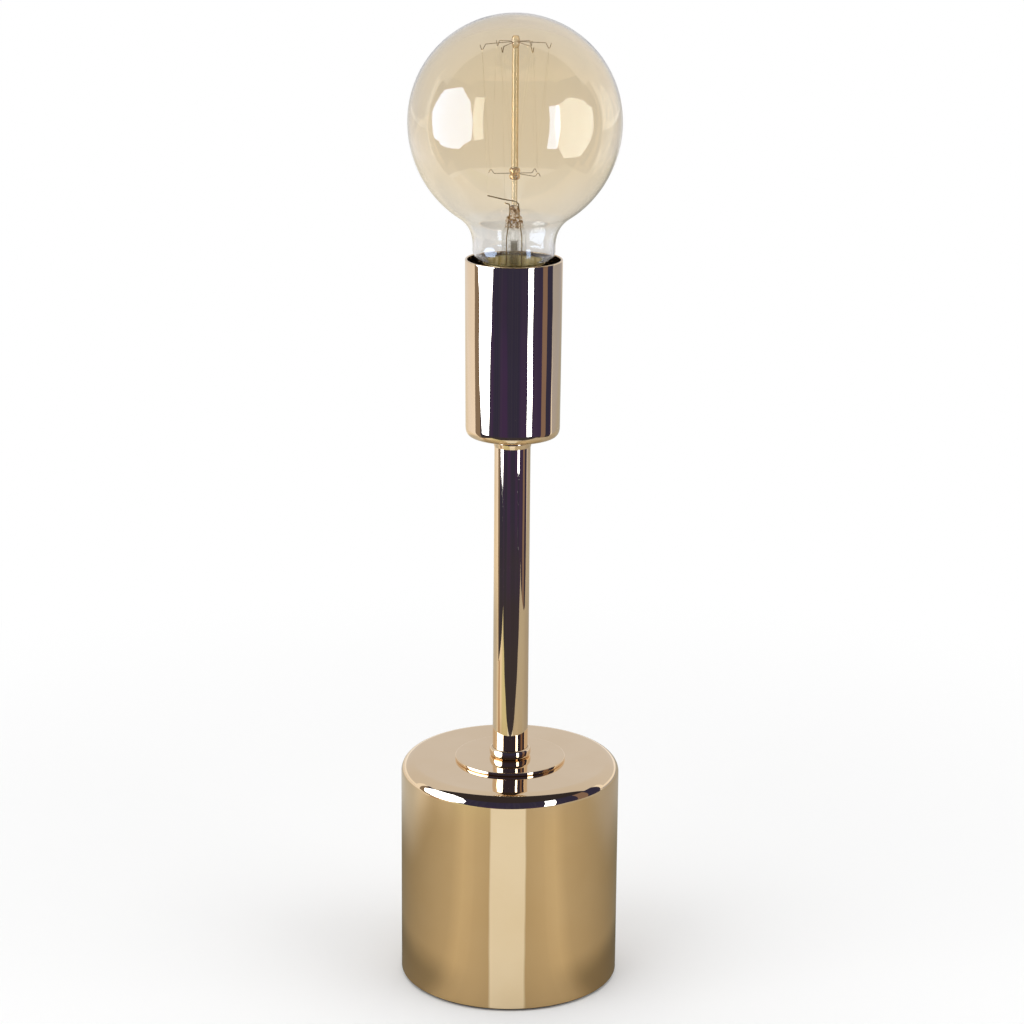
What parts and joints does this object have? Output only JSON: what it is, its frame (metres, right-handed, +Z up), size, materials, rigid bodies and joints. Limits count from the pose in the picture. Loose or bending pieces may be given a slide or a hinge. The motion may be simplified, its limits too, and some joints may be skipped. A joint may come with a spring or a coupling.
{
  "type": "bare bulb table lamp",
  "caption": "Table lamp with a heavy round can for a base, a slim tube and an open cup that holds a large bare globe filament bulb.",
  "frame": {"origin": "centre of the felt pad's underside, where the lamp's axis meets the table", "axes": "+Z up along the lamp's axis, +Y towards the rear, where the cord inlet is, and +X to the right seen from the front"},
  "size_m": [0.1016, 0.1031, 0.4506],
  "materials": {
    "gold_plate": "polished warm gold electroplate over steel",
    "zinc_steel": "bright zinc plate",
    "cast_iron": "raw casting, sealed black",
    "bare_brass": "bare rolled brass",
    "felt": "pressed wool felt",
    "black_rubber": "moulded, matt",
    "black_plastic": "moulded phenolic, dull",
    "porcelain": "unglazed white porcelain",
    "solder": "soft grey solder",
    "black_glass": "opaque black glass",
    "amber_glass": "clear glass, tinted amber inside the globe",
    "clear_glass": "clear glass",
    "rod_glass": "clear glass, warm amber",
    "bulb_wire": "drawn wire, browned by heat",
    "filament_wire": "hair-thin drawn wire, unlit"
  },
  "bodies": {
    "lamp": {"felt_pad": "felt", "base_plate": "zinc_steel", "plate_screws": "zinc_steel", "base_weight": "cast_iron", "weight_washers": "zinc_steel", "base_can": "gold_plate", "cord_grommet": "black_rubber", "can_washer": "zinc_steel", "star_washers": "zinc_steel", "rod_nuts": "bare_brass", "threaded_rod": "zinc_steel", "base_disc": "gold_plate", "foot_ring": "gold_plate", "stem_tube": "gold_plate", "stem_bushes": "black_plastic", "top_collar": "gold_plate", "holder_cup": "gold_plate", "cup_washer": "zinc_steel", "holder_base": "black_plastic", "holder_grub_screw": "zinc_steel", "contact_block": "porcelain", "terminals": "bare_brass", "terminal_screws": "zinc_steel", "contact_rivets": "bare_brass", "screw_shell": "bare_brass", "holder_sleeve": "black_plastic"},
    "spring_contact": {"centre_contact": "bare_brass"},
    "bulb_tip": {"tip_contact": "solder"},
    "bulb": {"cap_insulator": "black_glass", "bulb_cap": "bare_brass", "bulb_glass": "amber_glass", "glass_stem": "clear_glass", "exhaust_tube": "clear_glass", "glass_rod": "rod_glass", "lower_bead": "rod_glass", "upper_bead": "rod_glass", "lower_supports": "bulb_wire", "upper_supports": "bulb_wire", "lead_wires": "bulb_wire", "filament": "filament_wire"}
  },
  "joints": [
    {"name": "bulb_rise", "type": "slide", "parent": "lamp", "child": "bulb_tip", "axis": [0, 0, 1], "range_m": [0, 0.0118]},
    {"name": "bulb_turn", "type": "hinge", "parent": "bulb_tip", "child": "bulb", "pos_m": [0, 0, 0.33], "axis": [0, 0, 1], "range_deg": [0, 1170]},
    {"name": "contact_flex", "type": "hinge", "parent": "lamp", "child": "spring_contact", "pos_m": [-0.007, 0, 0.3123], "axis": [0, 1, 0], "range_deg": [0, 4], "stiffness_Nm_per_rad": 0.05}
  ],
  "couplings": [
    {"joint": "bulb_rise", "follows": "bulb_turn", "m_per_rad": 0.00057757}
  ]
}
